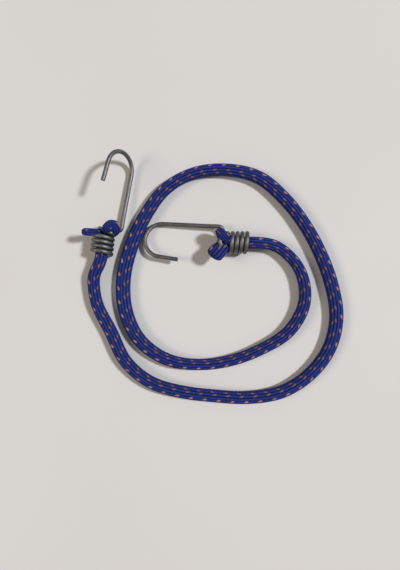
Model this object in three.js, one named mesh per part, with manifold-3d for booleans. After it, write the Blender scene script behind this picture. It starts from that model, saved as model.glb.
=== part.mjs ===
// A bungee cord: an elastic cord with a bent wire hook wound onto each end, lying in a loose spiral.
// Units are millimetres, +Z is up and the cord lies on the plane z = 0, with the origin under the middle of
// the box around the two hooks.
import * as THREE from "three";
import { mergeVertices } from "three/addons/utils/BufferGeometryUtils.js";
import Module from "manifold-3d";

const wasm = await Module();
wasm.setup();

// Cord section
const cordWidth = 8.8;
const cordHeight = 7.8;
const coverWall = 0.8;
const coverSides = 12;
const strandSides = 6;
const strandClearance = 0.25; // between a rubber strand and the cover
const strandGap = 0.3; // between two rubber strands

// Cord lengths
const leadLength = 26; // bends when a hook is lifted, next to each collar
const stretchLength = 60; // lengthens when the first hook is pulled
const straightLength = 4; // the cord leaves a collar straight for this far
const jointGap = 0.3; // between two stretches of the cord
const stepLength = 12; // one step of a tube along the cord

// Hook wire
const wireDiameter = 2.6;
const wireSides = 8;
const wireStep = 2;
const collarTurns = 5;
const collarPitch = 3.1;
const collarClearance = 0.4; // between the cord and the wire wound on it
const shankOffset = 10.7; // from the collar's axis to the foot of the shank
const shankRise = 2.2; // from the last turn to the foot of the shank
const shankSplay = THREE.MathUtils.degToRad(4.2);
const firstShankLength = 35.6;
const secondShankLength = 37;
const bendRadius = 11;
const bendTurn = THREE.MathUtils.degToRad(174);
const armLength = 12.8;
const leastWireGap = 0.4;
const wireStepsPerTurn = 20;
const takeOff = THREE.MathUtils.degToRad(50); // the wire leaves the last turn before the turn is full
const takeOffReach = wireDiameter;

// Where the two collars lie: the middle of each one's cord end
const firstCollarX = -42;
const firstCollarY = -29.8;
const secondCollarX = 51.6;
const secondCollarY = -23.1;

// The last turn of each collar is opened into an eye for the tucked end of the cord: pulled along the collar
// by a bulge, and moved towards the shank by a shift, each around the middle of a stretch of the turn.
const firstEyeBulge = 2;
const firstEyeShift = 5;
const secondEyeBulge = 4.5;
const secondEyeShift = 0;

// The tucked ends of the cord. A lump's middle is measured from the middle of the collar's mouth: out towards
// the shank, ahead along the collar and up, square to both.
const tuckClearance = 0.3; // between the tucked end and the wire pressed into it
const largestChip = 10; // in cubic millimetres: what the wire may cut off the tucked end
const ball = { out: 4, ahead: 4.2, up: 3.6, radii: [5, 5, 5], tilt: 0 };
const ballRoot = { out: 0.5, ahead: 1, up: 0.5, radii: [4.6, 4.6, 4.2], tilt: 0 };
const tailRoot = { out: 1, ahead: 0.8, up: 5.5 };
const tailEnd = { out: -13.8, ahead: -0.8, up: 5.5 };
const tailWidth = 4.4;
const tailHeight = 6.4;
const tailSides = 8;
const lumpTilt = THREE.MathUtils.degToRad(45);
const outerLump = { out: -6, ahead: 6.6, up: 1.8, radii: [5.8, 5.2, 4.6], tilt: lumpTilt };
const innerLump = { out: 4.6, ahead: 3.6, up: 4, radii: [4.6, 3.8, 4], tilt: lumpTilt };
const lumpRoot = { out: -0.5, ahead: 2.2, up: 0.6, radii: [4.6, 4.6, 3.8], tilt: 0 };

// Sizes that follow from these
const wireRadius = wireDiameter / 2;
const collarRadius = cordWidth / 2 + collarClearance + wireRadius;
const collarHeight = collarRadius + wireRadius;
const collarLength = collarTurns * collarPitch;
const collarMouth = collarLength - collarPitch;
const flatShare = Math.cos(Math.PI / coverSides); // a flat lies nearer the middle than a corner
const cordRest = (cordHeight / 2) * flatShare;
const strandDiameter = strandThatFits();

// The two hooks as they lie. From the collar towards its hook, azimuth turns the axis from +Y. Roll turns
// the shank about that axis, twist turns the bend about the shank, drop lowers the shank towards the bend.
// A bulge and a shift start and end as far from their middle as they reach.
const degrees = THREE.MathUtils.degToRad;
const hooks = [
  {
    name: "hook_1",
    x: firstCollarX,
    y: firstCollarY,
    azimuth: degrees(-6),
    roll: degrees(18),
    shankLength: firstShankLength,
    twist: degrees(40),
    drop: 0,
    bulge: { size: firstEyeBulge, middle: degrees(210), reach: degrees(95) },
    shift: { size: firstEyeShift, middle: degrees(140), reach: degrees(140) },
  },
  {
    name: "hook_2",
    x: secondCollarX,
    y: secondCollarY,
    azimuth: degrees(90),
    roll: degrees(8),
    shankLength: secondShankLength,
    twist: degrees(0),
    drop: degrees(4),
    bulge: { size: secondEyeBulge, middle: degrees(95), reach: degrees(95) },
    shift: { size: secondEyeShift, middle: degrees(140), reach: degrees(140) },
  },
];

// The cord's way over the surface, from the first collar to the second.
const cordRoute = [
  [-47.3, -43.8],
  [-45.8, -61.3],
  [-36.3, -80.3],
  [-26.8, -99.3],
  [-10.3, -112.8],
  [10.2, -118.8],
  [31.2, -121.3],
  [52.2, -122.3],
  [73.2, -118.8],
  [91.2, -107.8],
  [104.2, -91.3],
  [109.2, -70.8],
  [106.2, -49.8],
  [99.2, -29.8],
  [89.2, -10.8],
  [76.2, 6.2],
  [59.7, 20.2],
  [38.7, 25.2],
  [17.7, 23.2],
  [-1.3, 12.7],
  [-14.4, -4.6],
  [-23.4, -24.2],
  [-28.6, -45.3],
  [-27.3, -66.3],
  [-18.3, -85.3],
  [-0.8, -97.8],
  [19.7, -101.3],
  [40.7, -98.8],
  [60.7, -91.3],
  [78.7, -79.8],
  [88.7, -61.3],
  [85.7, -40.3],
  [71.2, -25.3],
];

const coverMaterial = new THREE.MeshStandardMaterial({ color: 0x1f3aa8, roughness: 0.8, metalness: 0 });
const rubberMaterial = new THREE.MeshStandardMaterial({ color: 0xd8cfb8, roughness: 0.9, metalness: 0 });
const wireMaterial = new THREE.MeshStandardMaterial({ color: 0x85878a, roughness: 0.4, metalness: 1 });

// The thickest strand of which seven, in rows of two, three and two, fit in the cover.
function strandThatFits() {
  const room = (cordHeight - 2 * coverWall) * flatShare - 2 * strandClearance;
  return (room - Math.sqrt(3) * strandGap) / (1 + Math.sqrt(3));
}

// An oval with a flat at its top and bottom. The first axis is up and the second is across.
function ovalPoints(height, width, sides, middle = [0, 0]) {
  const points = [];
  for (let side = 0; side < sides; side++) {
    const angle = ((side + 0.5) * 2 * Math.PI) / sides;
    const up = middle[0] + (height / 2) * Math.cos(angle);
    const across = middle[1] + (width / 2) * Math.sin(angle);
    points.push(new THREE.Vector2(up, across));
  }
  return points;
}

function coverShape() {
  const shape = new THREE.Shape(ovalPoints(cordHeight, cordWidth, coverSides));
  const bore = ovalPoints(cordHeight - 2 * coverWall, cordWidth - 2 * coverWall, coverSides);
  shape.holes.push(new THREE.Path(bore));
  return shape;
}

function strandShapes() {
  const pitch = strandDiameter + strandGap;
  const rows = [
    { count: 2, up: (pitch * Math.sqrt(3)) / 2 },
    { count: 3, up: 0 },
    { count: 2, up: (-pitch * Math.sqrt(3)) / 2 },
  ];
  const shapes = [];
  for (const row of rows) {
    for (let place = 0; place < row.count; place++) {
      const across = (place - (row.count - 1) / 2) * pitch;
      const outline = ovalPoints(strandDiameter, strandDiameter, strandSides, [row.up, across]);
      shapes.push(new THREE.Shape(outline));
    }
  }
  return shapes;
}

function tubeAlong(path, shape, length) {
  const steps = Math.max(2, Math.ceil(path.getLength() / length));
  return new THREE.ExtrudeGeometry(shape, { steps, extrudePath: path, bevelEnabled: false });
}

// The middle line of the cord: it lies on the surface, and rises to a collar over each lead.
class CordLine extends THREE.Curve {
  constructor(plan, from, to) {
    super();
    this.plan = plan;
    this.from = from;
    this.to = to;
  }

  getPoint(share, target = new THREE.Vector3()) {
    const whole = this.plan.getLength();
    const along = this.from + (this.to - this.from) * share;
    const toEnd = Math.min(along, whole - along);
    const lift = 1 - THREE.MathUtils.smoothstep(toEnd, 0, leadLength);
    target.copy(this.plan.getPointAt(along / whole));
    target.z = cordRest + (collarHeight - cordRest) * lift;
    return target;
  }
}

// The way in the plane starts and ends straight along the two collars.
function cordPlan() {
  const ends = hooks.map((hook) => {
    const back = new THREE.Vector3(Math.sin(hook.azimuth), -Math.cos(hook.azimuth), 0);
    const mouth = new THREE.Vector3(hook.x, hook.y, 0).addScaledVector(back, wireRadius + jointGap);
    return { mouth, clear: mouth.clone().addScaledVector(back, straightLength) };
  });
  const middle = cordRoute.map(([x, y]) => new THREE.Vector3(x, y, 0));
  const points = [ends[0].mouth, ends[0].clear, ...middle, ends[1].clear, ends[1].mouth];
  const plan = new THREE.CatmullRomCurve3(points, false, "centripetal");
  plan.arcLengthDivisions = 2000;
  return plan;
}

// One stretch of the cord: its cover and the rubber strands inside it.
function addStretch(group, plan, name, from, to) {
  const line = new CordLine(plan, from, to);
  const cover = new THREE.Mesh(tubeAlong(line, coverShape(), stepLength), coverMaterial);
  cover.name = "cover_" + name;
  group.add(cover);
  strandShapes().forEach((shape, index) => {
    const strand = new THREE.Mesh(tubeAlong(line, shape, stepLength), rubberMaterial);
    strand.name = "strand_" + (index + 1) + "_" + name;
    group.add(strand);
  });
}

// How far a bulge or a shift moves the wire at an angle of the last turn.
function opening(change, turn) {
  const fromMiddle = Math.min(1, Math.abs(turn - change.middle) / change.reach);
  return change.size * Math.cos((fromMiddle * Math.PI) / 2) ** 2;
}

// A point of the collar at an angle from its cut end. A hook's own axes are x towards its shank, y along
// the collar towards the hook, and z square to both.
function collarPoint(hook, angle) {
  const lastTurn = angle - (collarTurns - 1) * 2 * Math.PI;
  const out = collarRadius * Math.cos(angle) + opening(hook.shift, lastTurn);
  const along = (collarPitch * angle) / (2 * Math.PI) + opening(hook.bulge, lastTurn);
  return new THREE.Vector3(out, along, collarRadius * Math.sin(angle));
}

// The hook's wire from the collar's cut end to the tip of the hook.
function wirePath(hook) {
  const points = [];
  const end = collarTurns * 2 * Math.PI - takeOff;
  const start = collarPoint(hook, 0);
  const cutEnd = new THREE.Vector3(0, -collarPitch / (2 * Math.PI), -collarRadius);
  points.push(start.clone().addScaledVector(cutEnd.normalize(), wireDiameter));
  const collarSteps = Math.round((end * wireStepsPerTurn) / (2 * Math.PI));
  for (let step = 0; step <= collarSteps; step++) {
    points.push(collarPoint(hook, (end * step) / collarSteps));
  }

  const along = new THREE.Vector3(
    Math.sin(shankSplay) * Math.cos(hook.drop),
    Math.cos(shankSplay) * Math.cos(hook.drop),
    -Math.sin(hook.drop),
  );
  const foot = new THREE.Vector3(shankOffset, collarLength + shankRise, 0);
  const last = points[points.length - 1];
  const winding = new THREE.Vector3(-last.z, collarPitch / (2 * Math.PI), last.x).normalize();
  const turnOut = new THREE.CubicBezierCurve3(
    last,
    last.clone().addScaledVector(winding, takeOffReach),
    foot.clone().addScaledVector(along, -takeOffReach),
    foot,
  );
  points.push(...turnOut.getPoints(5).slice(1, -1));
  const shankSteps = 6;
  for (let step = 0; step < shankSteps; step++) {
    points.push(foot.clone().addScaledVector(along, (hook.shankLength * step) / shankSteps));
  }

  const bendStart = foot.clone().addScaledVector(along, hook.shankLength);
  const inward = new THREE.Vector3(-Math.cos(shankSplay), Math.sin(shankSplay), 0);
  inward.applyAxisAngle(along, hook.twist);
  const middle = bendStart.clone().addScaledVector(inward, bendRadius);
  const bendSteps = 16;
  for (let step = 0; step <= bendSteps; step++) {
    const angle = (bendTurn * step) / bendSteps;
    const point = middle.clone();
    point.addScaledVector(inward, -bendRadius * Math.cos(angle));
    point.addScaledVector(along, bendRadius * Math.sin(angle));
    points.push(point);
  }
  const arm = along.clone().multiplyScalar(Math.cos(bendTurn));
  arm.addScaledVector(inward, Math.sin(bendTurn));
  const armStart = points[points.length - 1];
  points.push(armStart.clone().addScaledVector(arm, armLength / 2));
  points.push(armStart.clone().addScaledVector(arm, armLength));
  return new THREE.CatmullRomCurve3(points, false, "centripetal");
}

// The least gap that the wire leaves to itself, measured between points more than two diameters apart.
function wireGap(path) {
  const points = path.getSpacedPoints(Math.round(path.getLength()));
  const spacing = path.getLength() / (points.length - 1);
  const apart = Math.ceil((3 * wireDiameter) / spacing);
  let least = Infinity;
  for (let one = 0; one < points.length; one++) {
    for (let other = one + apart; other < points.length; other++) {
      least = Math.min(least, points[one].distanceTo(points[other]));
    }
  }
  return least - wireDiameter;
}

function wireTube(path, diameter) {
  const shape = new THREE.Shape(ovalPoints(diameter, diameter, wireSides));
  return tubeAlong(path, shape, wireStep);
}

// A closed geometry as a solid that can be joined and cut, and back again.
function solidOf(geometry) {
  const bare = geometry.clone();
  bare.deleteAttribute("normal");
  bare.deleteAttribute("uv");
  const merged = mergeVertices(bare, 1e-4);
  const triVerts = new Uint32Array(merged.index.array);
  return new wasm.Manifold(
    new wasm.Mesh({ numProp: 3, vertProperties: merged.attributes.position.array, triVerts }),
  );
}

function geometryOf(solid) {
  const mesh = solid.getMesh();
  const geometry = new THREE.BufferGeometry();
  geometry.setAttribute("position", new THREE.BufferAttribute(mesh.vertProperties, 3));
  geometry.setIndex(new THREE.BufferAttribute(mesh.triVerts, 1));
  geometry.computeVertexNormals();
  return geometry;
}

// A place measured from the middle of the collar's mouth.
function fromMouth(place) {
  return new THREE.Vector3(place.out, collarMouth + place.ahead, place.up);
}

function lump(shape) {
  const geometry = new THREE.SphereGeometry(1, 16, 10);
  geometry.scale(...shape.radii);
  geometry.rotateZ(shape.tilt);
  geometry.translate(...fromMouth(shape).toArray());
  return solidOf(geometry);
}

// The cord inside the collar.
function neck() {
  const from = new THREE.Vector3(0, -wireRadius, 0);
  const to = new THREE.Vector3(0, collarMouth, 0);
  const shape = new THREE.Shape(ovalPoints(cordHeight, cordWidth, coverSides));
  return solidOf(tubeAlong(new THREE.LineCurve3(from, to), shape, stepLength));
}

// The tucked end of the first hook: a ball of cord over the opened turn, and a flat tail out to the side.
function ballAndTail() {
  const line = new THREE.LineCurve3(fromMouth(tailRoot), fromMouth(tailEnd));
  const section = new THREE.Shape(ovalPoints(tailHeight, tailWidth, tailSides));
  const tail = solidOf(tubeAlong(line, section, stepLength));
  return lump(ball).add(lump(ballRoot)).add(tail);
}

// The tucked end of the second hook: two lumps of cord, one on each side of the opened turn.
function twoLumps() {
  return lump(outerLump).add(lump(innerLump)).add(lump(lumpRoot));
}

function addHook(group, hook, tuckedEnd) {
  const path = wirePath(hook);
  const gap = wireGap(path);
  console.log(hook.name + ": least gap of the wire to itself " + gap.toFixed(2) + " mm");
  if (gap < leastWireGap) throw new Error(hook.name + ": the wire touches itself");

  const wire = new THREE.Mesh(wireTube(path, wireDiameter), wireMaterial);
  wire.name = hook.name + "_wire";
  const groove = wireTube(path, (wireDiameter + 2 * tuckClearance) / Math.cos(Math.PI / wireSides));
  const pieces = neck().add(tuckedEnd).subtract(solidOf(groove)).decompose();
  pieces.sort((one, other) => other.volume() - one.volume());
  const chip = pieces.length > 1 ? pieces[1].volume() : 0;
  if (chip > largestChip) throw new Error(hook.name + ": the end falls apart");
  const end = new THREE.Mesh(geometryOf(pieces[0]), coverMaterial);
  end.name = hook.name + "_cord_end";

  const placed = new THREE.Group();
  placed.add(wire, end);
  placed.position.set(hook.x, hook.y, collarHeight);
  placed.rotation.set(0, hook.roll, hook.azimuth, "ZXY");
  group.add(placed);
}

const bungee = new THREE.Group();
const plan = cordPlan();
const cordLength = plan.getLength();
const leadEnd = leadLength;
const stretchEnd = leadEnd + stretchLength;
const lastLead = cordLength - leadLength;
addStretch(bungee, plan, "lead_1", leadEnd - jointGap, 0);
addStretch(bungee, plan, "stretch_1", leadEnd, stretchEnd - jointGap);
addStretch(bungee, plan, "run", stretchEnd, lastLead - jointGap);
addStretch(bungee, plan, "lead_2", lastLead, cordLength);
addHook(bungee, hooks[0], ballAndTail());
addHook(bungee, hooks[1], twoLumps());
console.log("cord between the collars " + cordLength.toFixed(1) + " mm");

export default bungee;
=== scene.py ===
"""A bungee cord in a woven cover, with a bent wire hook wound onto each end, lying in a loose spiral."""
import math

import bmesh
import bpy
import numpy as np
from mathutils import Matrix, Vector


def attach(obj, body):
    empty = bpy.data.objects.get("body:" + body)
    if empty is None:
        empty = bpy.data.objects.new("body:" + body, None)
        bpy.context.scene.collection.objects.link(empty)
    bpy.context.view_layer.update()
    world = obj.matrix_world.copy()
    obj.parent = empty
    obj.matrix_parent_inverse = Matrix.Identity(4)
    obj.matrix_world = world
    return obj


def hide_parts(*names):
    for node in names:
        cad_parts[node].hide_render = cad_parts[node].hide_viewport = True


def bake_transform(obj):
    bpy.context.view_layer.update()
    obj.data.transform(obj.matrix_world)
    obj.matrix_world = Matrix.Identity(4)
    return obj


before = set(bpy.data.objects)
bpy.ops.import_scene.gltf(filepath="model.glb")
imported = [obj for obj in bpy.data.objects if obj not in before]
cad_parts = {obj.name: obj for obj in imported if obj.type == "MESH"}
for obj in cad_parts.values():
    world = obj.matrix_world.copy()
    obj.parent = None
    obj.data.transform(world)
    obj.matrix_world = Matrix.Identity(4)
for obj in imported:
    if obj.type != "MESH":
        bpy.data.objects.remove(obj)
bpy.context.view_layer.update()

MM = 0.001
UP = np.array([0.0, 0.0, 1.0])

# Camera: straight above the cord, a little off the middle, as the photograph was taken.
CAMERA_PLACE = (23.2 * MM, -60.8 * MM, 281 * MM)
CAMERA_AHEAD = (-0.00729, 0.0384, -0.99924)
CAMERA_RIGHT = (0.99997, 0.0, -0.0073)
CAMERA_LENS_MM = 27.03
SENSOR_MM = 36
CAMERA_NEAR = 0.01  # in metres, from where the camera sees

# Woven cover
RIBS = 12
STEPS_PER_RIB = 8
AROUND = RIBS * STEPS_PER_RIB
FIRST_RIB_AT = -50 / 360  # of the way around, from the top of the cord towards the right of its way
RIB_DEPTH = 0.55 * MM
RIB_POWER = 2.2  # higher is a flatter crest and a narrower groove
COVER_WALL = 0.8 * MM
BORE_STEPS = 24
RING_STEP = 1.2 * MM
TUCKED_STEP = 0.4 * MM  # between the rings of a tucked end
FLECK_PERIOD_MM = 8.7
FLECK_LENGTH_MM = 2.2
FLECK_LAG_MM = 1.9  # from one rib of a pair to the other
PAIR_FLECK_WIDTH = 0.66  # of a rib
SINGLE_FLECK_WIDTH = 0.88  # of a rib
RIBS_PER_ROW = 3  # two with flecks and a plain one, then one with flecks and two plain ones
PERIODS_AROUND = 2  # that the line of flecks climbs in going once around
PLAIN_RIB = 2
PLAIN_PLACE = (PLAIN_RIB + 0.5) / RIBS  # around the cord, where the texture has no flecks
MELTED_PLACE = (PLAIN_RIB + 0.2) / RIBS  # where it is darker, as at a melted end
MELTED_SHARE = 0.4  # of the rounding at a tucked end
YARN_PERIOD_MM = 1.1
YARN_SLANT = 1.6  # yarns that a line straight across a rib meets
FILAMENTS_PER_YARN = 5.0
PAIR_SHOWN = 0.64  # how much of its colour a fleck of a pair shows, at least
SINGLE_SHOWN_MORE = 0.16
CHANCE_SHOWN_MORE = 0.2
SINGLE_BRIGHTER = 0.55
GROOVE_POWER = 1.5  # higher keeps the painted shade nearer to the groove
COVER_CREASE_DEG = 60

# Cord
LEAD_LENGTH = 26 * MM
STRETCH_LENGTH = 60 * MM
STRAIGHT_LENGTH = 4 * MM
STRAND_GAP = 0.3 * MM
STRAND_SHARE = 0.1  # a strand's radius, of the cord's lesser thickness
STRAND_SIDES = 8
STRAND_RING_STEP = 3  # a strand has every third ring of its cover
MOUTH_SETBACK = 1.6 * MM  # from the middle of a collar's first turn to the free cord
WIDTH_AND_HEIGHT = 16.4 * MM  # together, where the cord is squeezed flatter or rounder
LEAST_HEIGHT = 6.5 * MM
MOST_HEIGHT = 8.6 * MM
PLAN_EASING = 12
WIDTH_EASING = 60
WIDTH_SAMPLES = 400
OVAL_SAMPLES = 181
BEND_EASING = 4
BEND_ROOM = 0.95  # of a bend's radius, which the inner side of the cord may fill
BEND_START = 0.5  # of that room, from where the inner side is drawn in
STRAIGHT_RADIUS = 0.4  # in metres, from which a bend counts as straight
TIP_REACH = 2.6 * MM  # of the rounding at a tucked end
TIP_POWER = 2.5
TIP_FLAT = 0.4  # of the cord's width

# Hook wire
WIRE_RADIUS = 1.36 * MM
WIRE_SIDES = 20
WIRE_STEP = 0.6 * MM
CUT_CHAMFER = 0.25 * MM
WIRE_CREASE_DEG = 40
WIRE_EASING = 2
WIRE_SPAN_POINTS = 12
COLLAR_POINTS = 98
SHANK_POINTS = 8
BEND_POINTS = 24
COLLAR_TURNS = 5
COLLAR_PITCH = 3.1 * MM
COLLAR_RADIUS = 6.1 * MM
COLLAR_HEIGHT = 7.4 * MM
COLLAR_LENGTH = COLLAR_TURNS * COLLAR_PITCH
SHANK_OFFSET = 10.7 * MM
SHANK_RISE = 2.2 * MM
SHANK_SPLAY = math.radians(4.2)
BEND_RADIUS = 11 * MM
BEND_TURN = math.radians(174)
ARM_LENGTH = 12.8 * MM
TAKE_OFF = math.radians(50)
TAKE_OFF_REACH = 2 * WIRE_RADIUS
TAKE_OFF_SHARES = (0.2, 0.4, 0.6, 0.8)

# The hooks as they lie: azimuth turns the collar's axis from +Y, roll turns the shank about that axis, twist
# turns the bend about the shank, drop lowers the shank towards the bend. The last turn is opened by a bulge
# along the collar and a shift towards the shank: each has a size, its middle in the turn and its reach.
HOOK_1 = {
    "name": "hook_1",
    "place": (-42 * MM, -29.8 * MM),
    "azimuth": math.radians(-6),
    "roll": math.radians(18),
    "shank": 35.6 * MM,
    "twist": math.radians(40),
    "drop": 0.0,
    "bulge": (2 * MM, math.radians(210), math.radians(95)),
    "shift": (5 * MM, math.radians(140), math.radians(140)),
}
HOOK_2 = {
    "name": "hook_2",
    "place": (51.6 * MM, -23.1 * MM),
    "azimuth": math.radians(90),
    "roll": math.radians(8),
    "shank": 37 * MM,
    "twist": 0.0,
    "drop": math.radians(4),
    "bulge": (4.5 * MM, math.radians(95), math.radians(95)),
    "shift": (0.0, math.radians(140), math.radians(140)),
}

# The cord's way over the surface, from the first collar to the second, in metres.
CORD_ROUTE = [
    (-0.0473, -0.0438),
    (-0.0458, -0.0613),
    (-0.0363, -0.0803),
    (-0.0268, -0.0993),
    (-0.0103, -0.1128),
    (0.0102, -0.1188),
    (0.0312, -0.1213),
    (0.0522, -0.1223),
    (0.0732, -0.1188),
    (0.0912, -0.1078),
    (0.1042, -0.0913),
    (0.1092, -0.0708),
    (0.1062, -0.0498),
    (0.0992, -0.0298),
    (0.0892, -0.0108),
    (0.0762, 0.0062),
    (0.0597, 0.0202),
    (0.0387, 0.0252),
    (0.0177, 0.0232),
    (-0.0013, 0.0127),
    (-0.0144, -0.0046),
    (-0.0234, -0.0242),
    (-0.0286, -0.0453),
    (-0.0273, -0.0663),
    (-0.0183, -0.0853),
    (-0.0008, -0.0978),
    (0.0197, -0.1013),
    (0.0407, -0.0988),
    (0.0607, -0.0913),
    (0.0787, -0.0798),
    (0.0887, -0.0613),
    (0.0857, -0.0403),
    (0.0712, -0.0253),
]

# How wide the cord lies at places along it, in millimetres from the first collar.
CORD_WIDTHS = [
    (0, 8.0),
    (30, 7.6),
    (55, 8.8),
    (80, 8.1),
    (190, 8.2),
    (230, 9.1),
    (270, 9.1),
    (305, 8.4),
    (345, 9.0),
    (390, 7.3),
    (430, 8.8),
    (480, 10.2),
    (520, 9.4),
    (560, 7.2),
    (605, 7.4),
    (642, 8.4),
    (678, 7.2),
    (712, 7.8),
]

# The tucked ends, in each hook's own axes in millimetres: out towards the shank, along the collar, up, and
# then how wide and how high the cord is there.
FIRST_END = [
    (0, -1.6, 0, 8.0, 8.4),
    (0, 4, 0, 8.2, 8.0),
    (0, 8.5, 0, 8.0, 7.4),
    (1.8, 11.6, 0.6, 7.0, 6.0),
    (4.8, 13.8, 2.4, 6.8, 5.8),
    (6.4, 15.9, 6.4, 6.8, 6.4),
    (5.1, 17.8, 7.6, 6.0, 6.4),
    (2.8, 17.7, 7.8, 5.4, 6.4),
    (1.1, 15.6, 7.2, 5.8, 6.4),
    (0.6, 15.0, 2.0, 5.0, 4.8),
    (-2.6, 13.2, 0.8, 4.6, 4.6),
    (-6.8, 12.2, 3.8, 4.3, 4.8),
    (-10.2, 11.7, 5.0, 4.3, 4.8),
    (-14.0, 11.3, 5.0, 4.1, 4.6),
]
FIRST_END_LAG = 1.8 * MM  # by which the flecks of the first tucked end lie nearer to the collar
SECOND_END = [
    (0, -1.6, 0, 7.8, 8.6),
    (0, 4, 0, 8.0, 8.0),
    (0.2, 9, 0, 8.0, 7.4),
    (0.6, 12.6, 3.4, 6.2, 6.0),
    (2.7, 15.7, 7.8, 6.2, 5.4),
    (5.1, 17.9, 7.6, 5.8, 5.0),
    (5.6, 17.6, 3.6, 5.8, 5.0),
    (2.2, 15.6, 0.4, 7.6, 5.0),
    (-1.8, 16.0, 1.2, 9.6, 6.0),
    (-5.4, 18.4, 3.2, 11.4, 7.6),
    (-8.6, 21.0, 3.4, 11.8, 8.0),
    (-10.6, 22.6, 3.2, 10.8, 7.6),
]

# Light and floor
KEY_LIGHT = {"place": (0.94, 0.18, 1.1), "breadth_deg": 7.7, "strength": 2.8, "colour": "#f8faff"}
FILL_LIGHT = {"place": (-0.83, -0.06, 0.7), "breadth_deg": 21.0, "strength": 1.1, "colour": "#fff0de"}
ROOM_COLOUR = "#e6e6e6"
ROOM_STRENGTH = 0.25
FLOOR_HALF = 3.0


# Lines and rings

def unit(vectors):
    """The same vectors at length one."""
    vectors = np.asarray(vectors, float)
    return vectors / np.linalg.norm(vectors, axis=-1, keepdims=True)


def through(points, per_span=24):
    """A smooth line through chosen points, with close knots where the points lie close."""
    points = np.asarray(points, float)
    first = 2 * points[0] - points[1]
    last = 2 * points[-1] - points[-2]
    knots = np.vstack([first, points, last])
    share = np.linspace(0, 1, per_span, endpoint=False)[:, None]
    spans = []
    for a, b, c, d in zip(knots, knots[1:], knots[2:], knots[3:]):
        before = np.linalg.norm(b[:3] - a[:3]) ** 0.5
        here = np.linalg.norm(c[:3] - b[:3]) ** 0.5
        after = np.linalg.norm(d[:3] - c[:3]) ** 0.5
        leave = (b - a) / before - (c - a) / (before + here) + (c - b) / here
        reach = (c - b) / here - (d - b) / (here + after) + (d - c) / after
        leave = leave * here
        reach = reach * here
        curve = b + share * leave + share ** 2 * (3 * (c - b) - 2 * leave - reach)
        spans.append(curve + share ** 3 * (2 * (b - c) + leave + reach))
    spans.append(points[-1:])
    return np.vstack(spans)


def lengths_along(line):
    """How far along the line each of its points lies."""
    steps = np.linalg.norm(np.diff(line[:, :3], axis=0), axis=1)
    return np.concatenate([[0.0], np.cumsum(steps)])


def evenly(line, step):
    """The same line with points that lie evenly spaced, about a step apart."""
    along = lengths_along(line)
    count = max(2, int(round(along[-1] / step)) + 1)
    places = np.linspace(0, along[-1], count)
    return np.stack([np.interp(places, along, column) for column in line.T], axis=1)


def eased(line, reach):
    """The same line with its small changes of bend evened out, its ends kept."""
    out = line.copy()
    for _ in range(reach):
        out[1:-1] = 0.25 * out[:-2] + 0.5 * out[1:-1] + 0.25 * out[2:]
    return out


def tangents(line):
    """The direction of a line at each of its points."""
    return unit(np.gradient(line, axis=0))


def carried(directions, start):
    """A side direction carried along a line without turning about it."""
    side = start - directions[0] * np.dot(start, directions[0])
    sides = [unit(side)]
    for ahead in directions[1:]:
        side = sides[-1] - ahead * np.dot(sides[-1], ahead)
        sides.append(unit(side))
    return np.array(sides)


def smoothstep(value):
    """From 0 to 1, level at both ends."""
    value = np.clip(value, 0.0, 1.0)
    return value * value * (3 - 2 * value)


# The cord's middle line and its section along the way

def end_of_cord(hook):
    """Where the cord leaves a collar, and where it may start to bend."""
    back = np.array([math.sin(hook["azimuth"]), -math.cos(hook["azimuth"])])
    mouth = np.array(hook["place"]) + back * MOUTH_SETBACK
    return mouth, mouth + back * STRAIGHT_LENGTH


def widths_at(along):
    """How wide the cord is at lengths along it, evened out."""
    places, widths = np.array(CORD_WIDTHS).T
    fine = np.linspace(places[0], places[-1], WIDTH_SAMPLES)
    even = eased(np.interp(fine, places, widths), WIDTH_EASING)
    return np.interp(along / MM, fine, even) * MM


def cord_line():
    """Points, sides and sizes of the whole free cord, evenly along its length."""
    mouth_1, clear_1 = end_of_cord(HOOK_1)
    mouth_2, clear_2 = end_of_cord(HOOK_2)
    chosen = np.vstack([mouth_1, clear_1, np.array(CORD_ROUTE), clear_2, mouth_2])
    plan = eased(evenly(through(chosen), RING_STEP), PLAN_EASING)
    along = lengths_along(plan)
    width = widths_at(along)
    height = np.clip(WIDTH_AND_HEIGHT - width, LEAST_HEIGHT, MOST_HEIGHT)
    to_end = np.minimum(along, along[-1] - along)
    lift = 1 - smoothstep(to_end / LEAD_LENGTH)
    level = height / 2 + (COLLAR_HEIGHT - height / 2) * lift
    line = np.column_stack([plan, level])
    ahead = tangents(line)
    ahead[0] = unit(np.append(clear_1 - mouth_1, 0.0))
    ahead[-1] = unit(np.append(mouth_2 - clear_2, 0.0))
    right = unit(np.cross(ahead, UP))
    up = unit(np.cross(right, ahead))
    return {"line": line, "right": right, "up": up, "width": width, "height": height, "along": along}


def stretch_of(cord, start, end):
    """The rings of the cord between two lengths along it."""
    keep = (cord["along"] >= start - 1e-6) & (cord["along"] <= end + 1e-6)
    return {key: values[keep] for key, values in cord.items()}


def hook_matrix(hook):
    """From a hook's own axes to where it lies."""
    place = Matrix.Translation((hook["place"][0], hook["place"][1], COLLAR_HEIGHT))
    turn = Matrix.Rotation(hook["azimuth"], 4, "Z") @ Matrix.Rotation(hook["roll"], 4, "Y")
    return np.array(place @ turn)


def placed(points, hook):
    """Points in a hook's own axes, put where the hook lies."""
    matrix = hook_matrix(hook)
    return points @ matrix[:3, :3].T + matrix[:3, 3]


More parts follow.
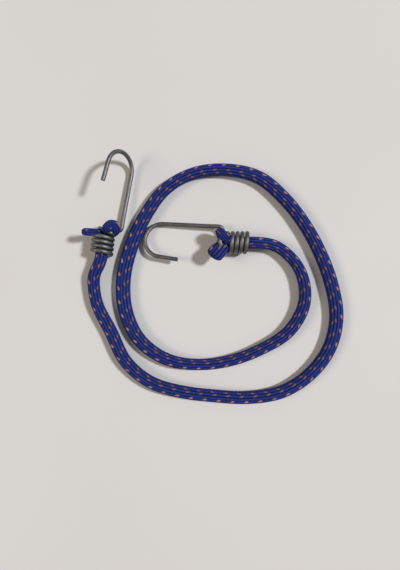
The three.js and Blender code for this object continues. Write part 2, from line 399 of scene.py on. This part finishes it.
def tucked_rings(hook, chosen, start, outward):
    """The rings of a tucked end. Start is where the free cord ends. Outward is 1 along its way, else -1."""
    fine = evenly(through(np.array(chosen, float) * MM), TUCKED_STEP)
    line = placed(fine[:, :3], hook)
    ahead = tangents(line)
    way = outward * ahead[0]
    right = carried(ahead, np.cross(way, UP))
    up = outward * unit(np.cross(right, ahead))
    along = start + outward * lengths_along(line)
    sizes = {"width": fine[:, 3], "height": fine[:, 4]}
    return {"line": line, "right": right, "up": up, "along": along, **sizes}


def rounded_off(rings, reach):
    """The rings with the last of them drawn in to a cut end, where the weave is melted smooth."""
    along = np.abs(rings["along"] - rings["along"][-1])
    share = np.clip(along / reach, 0.0, 1.0)
    draw = np.clip(1 - (1 - share) ** TIP_POWER, TIP_FLAT ** TIP_POWER, 1.0) ** (1 / TIP_POWER)
    sizes = {"width": rings["width"] * draw, "height": rings["height"] * draw}
    return {**rings, **sizes, "woven": share}


# Meshes

def mesh_piece(name, points, faces, uvs, material, crease_deg=COVER_CREASE_DEG):
    """A smooth-shaded piece with one texture place for each corner of its faces."""
    mesh = bpy.data.meshes.new(name)
    mesh.from_pydata([tuple(p) for p in points], [], faces)
    layer = mesh.uv_layers.new(name="weave")
    layer.data.foreach_set("uv", np.asarray(uvs, np.float32).ravel())
    turned = bmesh.new()
    turned.from_mesh(mesh)
    bmesh.ops.recalc_face_normals(turned, faces=turned.faces)
    turned.to_mesh(mesh)
    turned.free()
    mesh.polygons.foreach_set("use_smooth", [True] * len(mesh.polygons))
    mesh.set_sharp_from_angle(angle=math.radians(crease_deg))
    mesh.materials.append(material)
    piece = bpy.data.objects.new(name, mesh)
    bpy.context.scene.collection.objects.link(piece)
    return piece


def even_turns(rings, shares):
    """Angles that lie evenly along each ring's oval, at shares of the way around from its top."""
    fine = np.linspace(0, 2 * math.pi, OVAL_SAMPLES)
    speed = np.hypot(rings["width"][:, None] * np.cos(fine), rings["height"][:, None] * np.sin(fine))
    way = np.cumsum(speed[:, 1:] + speed[:, :-1], axis=1)
    way = np.pad(way, ((0, 0), (1, 0))) / way[:, -1:]
    return np.array([np.interp(shares % 1.0, row, fine) for row in way])


def around(rings, turns, inset):
    """From the middle of each ring to points around it, at angles from its top towards its right."""
    across = (rings["width"][:, None] / 2 - inset) * np.sin(turns)
    upward = (rings["height"][:, None] / 2 - inset) * np.cos(turns)
    return across[:, :, None] * rings["right"][:, None, :] + upward[:, :, None] * rings["up"][:, None, :]


def drawn_into_bends(rings, offsets):
    """Keeps the inner side of a tight bend from passing the middle of the bend."""
    ahead = tangents(rings["line"])
    step = np.linalg.norm(np.diff(rings["line"], axis=0), axis=1).mean()
    bend = eased(np.gradient(ahead, axis=0) / step, BEND_EASING)
    tightness = np.linalg.norm(bend, axis=1)
    inward = bend / np.maximum(tightness, 1e-9)[:, None]
    room = BEND_ROOM / np.maximum(tightness, 1 / STRAIGHT_RADIUS)
    depth = np.einsum("rkc,rc->rk", offsets, inward)
    limit = room[:, None]
    start = BEND_START * limit
    spare = limit - start
    eased_depth = start + spare * np.tanh((depth - start) / spare)
    change = np.where(depth > start, eased_depth - depth, 0.0)
    return offsets + change[:, :, None] * inward[:, None, :]


def woven_skin(rings):
    """The ribbed outside of the cord: its points, faces and texture places."""
    number = np.arange(AROUND)
    turns = even_turns(rings, FIRST_RIB_AT + (number / STEPS_PER_RIB - 0.5) / RIBS)
    from_crest = np.abs(2 * ((number / STEPS_PER_RIB) % 1.0) - 1)
    woven = rings.get("woven", np.ones(len(turns)))
    inset = RIB_DEPTH * from_crest ** RIB_POWER * smoothstep(woven)[:, None]
    offsets = around(rings, turns, inset)
    points = rings["line"][:, None, :] + drawn_into_bends(rings, offsets)
    faces = []
    uvs = []
    for ring in range(len(points) - 1):
        low, high = rings["along"][ring], rings["along"][ring + 1]
        here, there = ring * AROUND, (ring + 1) * AROUND
        for k in range(AROUND):
            after = (k + 1) % AROUND
            faces.append((here + k, here + after, there + after, there + k))
            step = k if woven[ring] >= 1 else PLAIN_RIB * STEPS_PER_RIB + k % STEPS_PER_RIB
            left = step / AROUND
            right = left + 1 / AROUND
            if woven[ring] < MELTED_SHARE:
                left = right = MELTED_PLACE
            uvs += [(left, low), (right, low), (right, high), (left, high)]
    return points.reshape(-1, 3), faces, uvs


def cover_piece(name, rings, material):
    """A stretch of the woven cover, open inside for the rubber strands."""
    points, faces, uvs = woven_skin(rings)
    turns = even_turns(rings, FIRST_RIB_AT - 0.5 / RIBS + np.arange(BORE_STEPS) / BORE_STEPS)
    bore = rings["line"][:, None, :] + around(rings, turns, COVER_WALL)
    first = len(points)
    points = np.vstack([points, bore.reshape(-1, 3)])
    count = len(rings["line"])
    for ring in range(count - 1):
        here, there = first + ring * BORE_STEPS, first + (ring + 1) * BORE_STEPS
        for k in range(BORE_STEPS):
            after = (k + 1) % BORE_STEPS
            faces.append((here + k, there + k, there + after, here + after))
            uvs += [(PLAIN_PLACE, rings["along"][ring])] * 4
    share = AROUND // BORE_STEPS
    for ring in (0, count - 1):
        outer, inner = ring * AROUND, first + ring * BORE_STEPS
        for k in range(BORE_STEPS):
            edge = [outer + (k * share + j) % AROUND for j in range(share + 1)]
            faces.append((*edge, inner + (k + 1) % BORE_STEPS, inner + k))
            uvs += [(PLAIN_PLACE, rings["along"][ring])] * (share + 3)
    return mesh_piece(name, points, faces, uvs, material)


def solid_end_piece(name, rings, material):
    """A tucked end of the cord, closed at both ends."""
    points, faces, uvs = woven_skin(rings)
    last = len(points) - AROUND
    for start, place in ((0, rings["along"][0]), (last, rings["along"][-1])):
        faces.append(tuple(range(start, start + AROUND)))
        uvs += [(MELTED_PLACE, place)] * AROUND
    return mesh_piece(name, points, faces, uvs, material)


def round_tube(name, line, radius, sides, material, chamfer=0.0):
    """A round bar along a line, with its cut ends chamfered."""
    along = lengths_along(line)
    ahead = tangents(line)
    side = carried(ahead, UP if abs(ahead[0] @ UP) < 0.9 else np.array([1.0, 0, 0]))
    other = np.cross(ahead, side)
    to_end = np.minimum(along, along[-1] - along)
    radii = np.broadcast_to(radius, along.shape) - chamfer * (to_end < 1e-9)
    turns = np.arange(sides) * 2 * math.pi / sides
    ring = np.cos(turns)[None, :, None] * side[:, None, :] + np.sin(turns)[None, :, None] * other[:, None, :]
    points = line[:, None, :] + radii[:, None, None] * ring
    faces = []
    uvs = []
    for row in range(len(line) - 1):
        here, there = row * sides, (row + 1) * sides
        for k in range(sides):
            after = (k + 1) % sides
            faces.append((here + k, here + after, there + after, there + k))
            low, high = along[row], along[row + 1]
            uvs += [(k / sides, low), ((k + 1) / sides, low), ((k + 1) / sides, high), (k / sides, high)]
    last = (len(line) - 1) * sides
    for start, place in ((0, 0.0), (last, along[-1])):
        faces.append(tuple(range(start, start + sides)))
        uvs += [(0.5, place)] * sides
    return mesh_piece(name, points.reshape(-1, 3), faces, uvs, material, crease_deg=WIRE_CREASE_DEG)


def with_cut_rings(line):
    """The line with an extra point just inside each end, for a chamfer."""
    ahead = tangents(line)
    first = line[0] + ahead[0] * CUT_CHAMFER
    last = line[-1] - ahead[-1] * CUT_CHAMFER
    return np.vstack([line[:1], first, line[1:-1], last, line[-1:]])


# Hook wire

def opening(change, turn):
    """How far a bulge or a shift moves the wire at an angle of the last turn."""
    size, middle, reach = change
    from_middle = min(1.0, abs(turn - middle) / reach)
    return size * math.cos(from_middle * math.pi / 2) ** 2


def collar_point(hook, angle):
    """A point of the collar at an angle from its cut end, in the hook's own axes."""
    last_turn = angle - (COLLAR_TURNS - 1) * 2 * math.pi
    out = COLLAR_RADIUS * math.cos(angle) + opening(hook["shift"], last_turn)
    along = COLLAR_PITCH * angle / (2 * math.pi) + opening(hook["bulge"], last_turn)
    return np.array([out, along, COLLAR_RADIUS * math.sin(angle)])


def turned_about(vector, axis, angle):
    """A vector turned about an axis."""
    return np.array(Matrix.Rotation(angle, 3, Vector(axis)) @ Vector(vector))


def wire_line(hook):
    """The wire from the collar's cut end to the tip of the hook, in the hook's own axes."""
    climb = COLLAR_PITCH / (2 * math.pi)
    cut = unit([0.0, -climb, -COLLAR_RADIUS])
    points = [collar_point(hook, 0.0) + cut * 2 * WIRE_RADIUS]
    end = COLLAR_TURNS * 2 * math.pi - TAKE_OFF
    points += [collar_point(hook, angle) for angle in np.linspace(0, end, COLLAR_POINTS)]
    along = np.array([
        math.sin(SHANK_SPLAY) * math.cos(hook["drop"]),
        math.cos(SHANK_SPLAY) * math.cos(hook["drop"]),
        -math.sin(hook["drop"]),
    ])
    foot = np.array([SHANK_OFFSET, COLLAR_LENGTH + SHANK_RISE, 0.0])
    last = points[-1]
    winding = unit([-last[2], climb, last[0]])
    handle_1 = last + winding * TAKE_OFF_REACH
    handle_2 = foot - along * TAKE_OFF_REACH
    for share in TAKE_OFF_SHARES:
        rest = 1 - share
        point = rest ** 3 * last + 3 * rest ** 2 * share * handle_1
        points.append(point + 3 * rest * share ** 2 * handle_2 + share ** 3 * foot)
    shares = np.linspace(0, 1, SHANK_POINTS)[:-1]
    points += [foot + along * hook["shank"] * share for share in shares]
    inward = np.array([-math.cos(SHANK_SPLAY), math.sin(SHANK_SPLAY), 0.0])
    inward = turned_about(inward, along, hook["twist"])
    middle = foot + along * hook["shank"] + inward * BEND_RADIUS
    for angle in np.linspace(0, BEND_TURN, BEND_POINTS):
        points.append(middle + BEND_RADIUS * (along * math.sin(angle) - inward * math.cos(angle)))
    arm = along * math.cos(BEND_TURN) + inward * math.sin(BEND_TURN)
    start = points[-1]
    points += [start + arm * ARM_LENGTH * share for share in (0.5, 1.0)]
    return eased(evenly(through(np.array(points), WIRE_SPAN_POINTS), WIRE_STEP), WIRE_EASING)


def hook_wire(hook, material):
    """One bent wire: the collar, the shank, the bend and the arm."""
    name = hook["name"] + "_bent_wire"
    line = with_cut_rings(placed(wire_line(hook), hook))
    return round_tube(name, line, WIRE_RADIUS, WIRE_SIDES, material, CUT_CHAMFER)


# Rubber strands

def strand_lines(rings):
    """The middle lines and radii of seven strands, in rows of two, three and two."""
    least = np.minimum(rings["width"], rings["height"])
    radius = STRAND_SHARE * least
    row_step = (2 * radius + STRAND_GAP) * math.sqrt(3) / 2
    room = rings["width"] / 2 - COVER_WALL - STRAND_GAP - radius
    place_step = np.minimum(2 * radius + STRAND_GAP, room)
    lines = []
    for count, row in ((2, 1), (3, 0), (2, -1)):
        for place in range(count):
            across = (place - (count - 1) / 2) * place_step
            offset = across[:, None] * rings["right"] + (row * row_step)[:, None] * rings["up"]
            lines.append((rings["line"] + offset, radius))
    return lines


def thinned(rings, every):
    """Every so many rings, with the first and last kept."""
    count = len(rings["line"])
    keep = np.unique(np.concatenate([np.arange(0, count, every), [count - 1]]))
    return {key: values[keep] for key, values in rings.items()}


# Materials

def linear(hex_text):
    """An sRGB hex colour as the linear colour that a shader takes."""
    parts = [int(hex_text[i:i + 2], 16) / 255 for i in (1, 3, 5)]
    return tuple(p / 12.92 if p <= 0.04045 else ((p + 0.055) / 1.055) ** 2.4 for p in parts) + (1.0,)


def add(tree, kind, inputs=None, **settings):
    """Adds a node with its settings, and links or sets its inputs. A node stands for its first output."""
    node = tree.nodes.new(kind)
    for name, value in settings.items():
        setattr(node, name, value)
    for key, value in (inputs or {}).items():
        if isinstance(value, bpy.types.Node):
            value = value.outputs[0]
        if isinstance(value, bpy.types.NodeSocket):
            tree.links.new(value, node.inputs[key])
        else:
            node.inputs[key].default_value = value
    return node


def new_material(name):
    """A material with its node tree and its shader."""
    material = bpy.data.materials.new(name)
    material.use_nodes = True
    return material, material.node_tree, material.node_tree.nodes["Principled BSDF"]


def woven_polypropylene():
    """Polypropylene yarn woven lengthwise over the rubber: a painted highlight on the yarns of each rib,
    painted shade in the grooves between the ribs, and short floats of orange yarn, bright on some ribs and
    half sunk on others."""
    material, tree, shader = new_material("woven_polypropylene")
    place = add(tree, "ShaderNodeUVMap", uv_map="weave")
    split = add(tree, "ShaderNodeSeparateXYZ", {0: place})
    rib = add(tree, "ShaderNodeMath", {0: split.outputs["X"], 1: float(RIBS)}, operation="MULTIPLY")
    along = add(tree, "ShaderNodeMath", {0: split.outputs["Y"], 1: 1 / MM}, operation="MULTIPLY")
    number = add(tree, "ShaderNodeMath", {0: rib}, operation="FLOOR")
    share = add(tree, "ShaderNodeMath", {0: rib}, operation="FRACT")
    across = add(tree, "ShaderNodeMath", {0: share, 1: 0.5}, operation="SUBTRACT")
    half = add(tree, "ShaderNodeMath", {0: across}, operation="ABSOLUTE")
    groove = add(tree, "ShaderNodeMath", {0: half, 1: 2.0}, operation="MULTIPLY")
    solid = add(tree, "ShaderNodeNewGeometry").outputs["Position"]
    uneven = add(tree, "ShaderNodeTexNoise", {"Vector": solid, "Scale": 0.25 / MM, "Detail": 2.0})

    # Fine yarns run aslant over each rib, the other way on every second rib. Each is a bundle of filaments.
    # Both are drawn coarser than they are, because the real ones are too fine to see.
    way = add(tree, "ShaderNodeMath", {0: number, 1: 2.0}, operation="MODULO")
    way = add(tree, "ShaderNodeMath", {0: way, 1: 2 * YARN_SLANT, 2: -YARN_SLANT}, operation="MULTIPLY_ADD")
    slant = add(tree, "ShaderNodeMath", {0: across, 1: way}, operation="MULTIPLY")
    which_yarn = add(tree, "ShaderNodeMath", {
        0: along, 1: 1 / YARN_PERIOD_MM, 2: slant,
    }, operation="MULTIPLY_ADD")
    yarn = add(tree, "ShaderNodeMath", {0: which_yarn, 1: 2 * math.pi}, operation="MULTIPLY")
    yarn = add(tree, "ShaderNodeMath", {0: yarn}, operation="SINE")
    yarn = add(tree, "ShaderNodeMath", {0: yarn, 1: 0.5, 2: 0.5}, operation="MULTIPLY_ADD")
    bundle = add(tree, "ShaderNodeCombineXYZ", {0: which_yarn, 1: rib})
    bundle = add(tree, "ShaderNodeMapping", {"Vector": bundle, "Scale": (FILAMENTS_PER_YARN, 2.0, 1.0)})
    filaments = add(tree, "ShaderNodeTexNoise", {"Vector": bundle, "Scale": 1.0, "Detail": 2.0})

    # The flecks lie on a line that winds around the cord: a pair, half sunk in the weave, then a single one.
    row = add(tree, "ShaderNodeMath", {0: number, 1: float(RIBS_PER_ROW)}, operation="DIVIDE")
    row = add(tree, "ShaderNodeMath", {0: row}, operation="FLOOR")
    single = add(tree, "ShaderNodeMath", {0: row, 1: 2.0}, operation="MODULO")
    in_row = add(tree, "ShaderNodeMath", {0: number, 1: float(RIBS_PER_ROW)}, operation="MODULO")
    climb = PERIODS_AROUND * FLECK_PERIOD_MM * RIBS_PER_ROW / RIBS
    lag = add(tree, "ShaderNodeMath", {0: in_row, 1: FLECK_LAG_MM}, operation="MULTIPLY")
    lag = add(tree, "ShaderNodeMath", {0: row, 1: climb, 2: lag}, operation="MULTIPLY_ADD")
    behind = add(tree, "ShaderNodeMath", {0: along, 1: lag}, operation="SUBTRACT")
    periods = add(tree, "ShaderNodeMath", {0: behind, 1: FLECK_PERIOD_MM}, operation="DIVIDE")
    phase = add(tree, "ShaderNodeMath", {0: periods}, operation="FRACT")
    phase = add(tree, "ShaderNodeMath", {0: uneven, 1: 0.1, 2: phase}, operation="MULTIPLY_ADD")
    phase = add(tree, "ShaderNodeMath", {0: phase, 1: 0.55}, operation="SUBTRACT")
    lean = YARN_PERIOD_MM / FLECK_PERIOD_MM
    phase = add(tree, "ShaderNodeMath", {0: slant, 1: lean, 2: phase}, operation="MULTIPLY_ADD")
    lengthwise = add(tree, "ShaderNodeMath", {
        0: phase, 1: 2 * FLECK_PERIOD_MM / FLECK_LENGTH_MM,
    }, operation="MULTIPLY")
    width = add(tree, "ShaderNodeMapRange", {0: single, 3: PAIR_FLECK_WIDTH / 2, 4: SINGLE_FLECK_WIDTH / 2})
    sideways = add(tree, "ShaderNodeMath", {0: across, 1: width}, operation="DIVIDE")
    lengthwise = add(tree, "ShaderNodeMath", {0: lengthwise}, operation="ABSOLUTE")
    lengthwise = add(tree, "ShaderNodeMath", {0: lengthwise, 1: 3.0}, operation="POWER")
    sideways = add(tree, "ShaderNodeMath", {0: sideways, 1: 4.0}, operation="POWER")
    ring = add(tree, "ShaderNodeMath", {0: lengthwise, 1: sideways}, operation="ADD")
    inside = add(tree, "ShaderNodeMapRange", {0: ring, 1: 0.6, 2: 1.4, 3: 1.0, 4: 0.0})
    most = add(tree, "ShaderNodeMath", {0: 1.5, 1: single}, operation="SUBTRACT")
    carries = add(tree, "ShaderNodeMath", {0: in_row, 1: most}, operation="LESS_THAN")
    fleck = add(tree, "ShaderNodeMath", {0: inside, 1: carries}, operation="MULTIPLY")
    which = add(tree, "ShaderNodeMath", {0: periods}, operation="FLOOR")
    one = add(tree, "ShaderNodeCombineXYZ", {0: number, 1: which})
    chance = add(tree, "ShaderNodeTexWhiteNoise", {"Vector": one}, noise_dimensions="2D")
    shown = add(tree, "ShaderNodeMath", {
        0: single, 1: SINGLE_SHOWN_MORE, 2: PAIR_SHOWN,
    }, operation="MULTIPLY_ADD")
    shown = add(tree, "ShaderNodeMath", {0: chance, 1: CHANCE_SHOWN_MORE, 2: shown}, operation="MULTIPLY_ADD")
    shown = add(tree, "ShaderNodeMath", {0: shown, 1: fleck}, operation="MULTIPLY")

    # Painted highlight: the crown of each aslant yarn on a rib is painted a lighter blue, uneven along its
    # filaments.
    yarn_crown_highlight = add(tree, "ShaderNodeMath", {0: yarn, 1: filaments}, operation="MULTIPLY")
    crest = add(tree, "ShaderNodeMix", {
        "Factor": yarn_crown_highlight, 6: linear("#1b2d7d"), 7: linear("#2b459a"),
    }, data_type="RGBA")
    # Painted shade: each rib's colour darkens towards near-black blue at the grooves between the ribs, where
    # shade falls.
    depth = add(tree, "ShaderNodeMath", {0: groove, 1: GROOVE_POWER}, operation="POWER")
    blue = add(tree, "ShaderNodeMix", {
        "Factor": depth, 6: crest.outputs[2], 7: linear("#040718"),
    }, data_type="RGBA")
    bright = add(tree, "ShaderNodeMath", {
        0: single, 1: SINGLE_BRIGHTER, 2: filaments,
    }, operation="MULTIPLY_ADD")
    bright = add(tree, "ShaderNodeMath", {0: bright, 1: 0.4}, operation="SUBTRACT")
    orange = add(tree, "ShaderNodeMix", {
        "Factor": bright, 6: linear("#7e5446"), 7: linear("#bd8472"),
    }, data_type="RGBA")
    colour = add(tree, "ShaderNodeMix", {
        "Factor": shown, 6: blue.outputs[2], 7: orange.outputs[2],
    }, data_type="RGBA")
    tree.links.new(colour.outputs[2], shader.inputs["Base Color"])

    relief = add(tree, "ShaderNodeMath", {0: filaments, 1: 1.5, 2: yarn}, operation="MULTIPLY_ADD")
    relief = add(tree, "ShaderNodeMath", {0: fleck, 1: 0.5, 2: relief}, operation="MULTIPLY_ADD")
    bump = add(tree, "ShaderNodeBump", {"Height": relief, "Strength": 0.6, "Distance": 0.1 * MM})
    tree.links.new(bump.outputs[0], shader.inputs["Normal"])
    shader.inputs["Roughness"].default_value = 0.7
    shader.inputs["IOR"].default_value = 1.49
    shader.inputs["Specular IOR Level"].default_value = 0.2
    shader.inputs["Sheen Weight"].default_value = 0.02
    shader.inputs["Sheen Roughness"].default_value = 0.5
    return material


def galvanised_wire():
    """Drawn steel wire with a thin zinc coat: dull grey gloss, patchy where the zinc set, and faint lines
    along the wire from the drawing die."""
    material, tree, shader = new_material("galvanised_wire")
    place = add(tree, "ShaderNodeUVMap", uv_map="weave")
    drawn = add(tree, "ShaderNodeMapping", {"Vector": place, "Scale": (60.0, 40.0, 1.0)})
    lines = add(tree, "ShaderNodeTexNoise", {"Vector": drawn, "Scale": 1.0, "Detail": 3.0})
    solid = add(tree, "ShaderNodeNewGeometry").outputs["Position"]
    patches = add(tree, "ShaderNodeTexNoise", {"Vector": solid, "Scale": 0.3 / MM, "Detail": 4.0})
    grains = add(tree, "ShaderNodeTexVoronoi", {"Vector": solid, "Scale": 0.9 / MM})
    grain = add(tree, "ShaderNodeSeparateXYZ", {0: grains.outputs["Color"]})
    tone = add(tree, "ShaderNodeMath", {0: grain, 1: 0.4, 2: patches}, operation="MULTIPLY_ADD")
    tone = add(tree, "ShaderNodeMath", {0: tone, 1: 0.2}, operation="SUBTRACT")
    zinc = add(tree, "ShaderNodeMix", {
        "Factor": tone, 6: linear("#636364"), 7: linear("#898887"),
    }, data_type="RGBA")
    tree.links.new(zinc.outputs[2], shader.inputs["Base Color"])
    dull = add(tree, "ShaderNodeMapRange", {0: patches, 1: 0.3, 2: 0.7, 3: 0.46, 4: 0.62})
    tree.links.new(dull.outputs[0], shader.inputs["Roughness"])
    bump = add(tree, "ShaderNodeBump", {"Height": lines, "Strength": 0.25, "Distance": 0.03 * MM})
    tree.links.new(bump.outputs[0], shader.inputs["Normal"])
    shader.inputs["Metallic"].default_value = 1.0
    return material


def natural_rubber():
    """Cut strands of natural rubber, dusted with talc: pale, matt and slightly uneven."""
    material, tree, shader = new_material("natural_rubber")
    solid = add(tree, "ShaderNodeNewGeometry").outputs["Position"]
    dust = add(tree, "ShaderNodeTexNoise", {"Vector": solid, "Scale": 0.8 / MM, "Detail": 3.0})
    tone = add(tree, "ShaderNodeMix", {
        "Factor": dust, 6: linear("#c9bb98"), 7: linear("#e6dcc4"),
    }, data_type="RGBA")
    tree.links.new(tone.outputs[2], shader.inputs["Base Color"])
    shader.inputs["Roughness"].default_value = 0.85
    shader.inputs["IOR"].default_value = 1.52
    return material


def matt_floor():
    """The plain pale floor that the cord lies on: matt, with a faint unevenness of tone."""
    material, tree, shader = new_material("matt_floor")
    solid = add(tree, "ShaderNodeNewGeometry").outputs["Position"]
    tint = add(tree, "ShaderNodeTexNoise", {"Vector": solid, "Scale": 6.0, "Detail": 2.0})
    tone = add(tree, "ShaderNodeMix", {
        "Factor": tint, 6: linear("#cfccc8"), 7: linear("#d6d3cf"),
    }, data_type="RGBA")
    tree.links.new(tone.outputs[2], shader.inputs["Base Color"])
    shader.inputs["Roughness"].default_value = 0.7
    return material


# Camera, light and floor

def make_camera():
    """The camera above the cord, turned so that the photograph's frame fits."""
    ahead = np.array(CAMERA_AHEAD)
    right = np.array(CAMERA_RIGHT)
    up = np.cross(right, ahead)
    matrix = Matrix.Identity(4)
    for row in range(3):
        matrix[row][0] = right[row]
        matrix[row][1] = up[row]
        matrix[row][2] = -ahead[row]
        matrix[row][3] = CAMERA_PLACE[row]
    lens = bpy.data.cameras.new("camera")
    lens.lens = CAMERA_LENS_MM
    lens.sensor_width = SENSOR_MM
    lens.clip_start = CAMERA_NEAR
    camera = bpy.data.objects.new("camera", lens)
    camera.matrix_world = matrix
    bpy.context.scene.collection.objects.link(camera)
    bpy.context.scene.camera = camera


def distant_light(name, place, breadth_deg, strength, colour):
    """A broad lamp so far away that it lights the whole floor alike."""
    light = bpy.data.lights.new(name, "SUN")
    light.angle = math.radians(breadth_deg)
    light.energy = strength
    light.color = linear(colour)[:3]
    lamp = bpy.data.objects.new(name, light)
    lamp.location = place
    lamp.rotation_euler = Vector(place).to_track_quat("Z", "Y").to_euler()
    bpy.context.scene.collection.objects.link(lamp)


def make_stage(surface):
    """Two lamps, the room's own light and the floor."""
    distant_light("key_light", **KEY_LIGHT)
    distant_light("fill_light", **FILL_LIGHT)
    world = bpy.data.worlds.new("room_light")
    world.use_nodes = True
    room = world.node_tree.nodes["Background"]
    room.inputs["Color"].default_value = linear(ROOM_COLOUR)
    room.inputs["Strength"].default_value = ROOM_STRENGTH
    bpy.context.scene.world = world
    half = FLOOR_HALF
    mesh = bpy.data.meshes.new("floor")
    corners = [(-half, -half, 0), (half, -half, 0), (half, half, 0), (-half, half, 0)]
    mesh.from_pydata(corners, [], [(0, 1, 2, 3)])
    mesh.materials.append(surface)
    floor = bpy.data.objects.new("floor", mesh)
    bpy.context.scene.collection.objects.link(floor)
    bpy.context.scene.view_settings.view_transform = "Standard"


# Putting it together

def follow(piece, bodies):
    """The piece rides on one body; a piece between two bodies keeps its place, with its transform baked into
    its mesh.
    """
    if len(bodies) == 1:
        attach(piece, bodies[0])
    else:
        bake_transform(piece)


def add_stretch(cord, name, start, end, bodies, cover, rubber):
    """One stretch of the cord: its cover and the strands inside. Bodies run along the cord."""
    rings = stretch_of(cord, start, end)
    piece = cover_piece("woven_cover_" + name, rings, cover)
    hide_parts("cover_" + name)
    follow(piece, bodies)
    sparse = thinned(rings, STRAND_RING_STEP)
    for number, (line, radius) in enumerate(strand_lines(sparse), 1):
        strand_name = "rubber_strand_%d_%s" % (number, name)
        strand = round_tube(strand_name, line, radius, STRAND_SIDES, rubber)
        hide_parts("strand_%d_%s" % (number, name))
        follow(strand, bodies)
    return piece, rings


def add_hook(hook, chosen, start, outward, cover, steel):
    """A hook's wire, and the tucked end of the cord in it."""
    wire = hook_wire(hook, steel)
    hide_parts(hook["name"] + "_wire")
    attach(wire, hook["name"])
    rings = rounded_off(tucked_rings(hook, chosen, start, outward), TIP_REACH)
    end = solid_end_piece(hook["name"] + "_tucked_end", rings, cover)
    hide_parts(hook["name"] + "_cord_end")
    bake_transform(end)
    return end


def nearest_ring(cord, length):
    """How far along the cord the ring lies that is nearest to a length."""
    return cord["along"][np.argmin(np.abs(cord["along"] - length))]


def main():
    """The camera, the cord in four stretches, the two hooks, and the stage."""
    make_camera()
    cover = woven_polypropylene()
    rubber = natural_rubber()
    steel = galvanised_wire()
    cord = cord_line()
    whole = cord["along"][-1]
    joint_1 = nearest_ring(cord, LEAD_LENGTH)
    joint_2 = nearest_ring(cord, LEAD_LENGTH + STRETCH_LENGTH)
    joint_3 = nearest_ring(cord, whole - LEAD_LENGTH)
    lead_1, _ = add_stretch(cord, "lead_1", 0, joint_1, ("lead_1", "stretch_1"), cover, rubber)
    stretch, stretch_rings = add_stretch(
        cord, "stretch_1", joint_1, joint_2, ("stretch_1", "cord"), cover, rubber)
    run, run_rings = add_stretch(cord, "run", joint_2, joint_3, ("cord",), cover, rubber)
    lead_2, _ = add_stretch(cord, "lead_2", joint_3, whole, ("cord", "lead_2"), cover, rubber)
    end_1 = add_hook(HOOK_1, FIRST_END, -FIRST_END_LAG, -1, cover, steel)
    end_2 = add_hook(HOOK_2, SECOND_END, whole, 1, cover, steel)

    make_stage(matt_floor())


main()
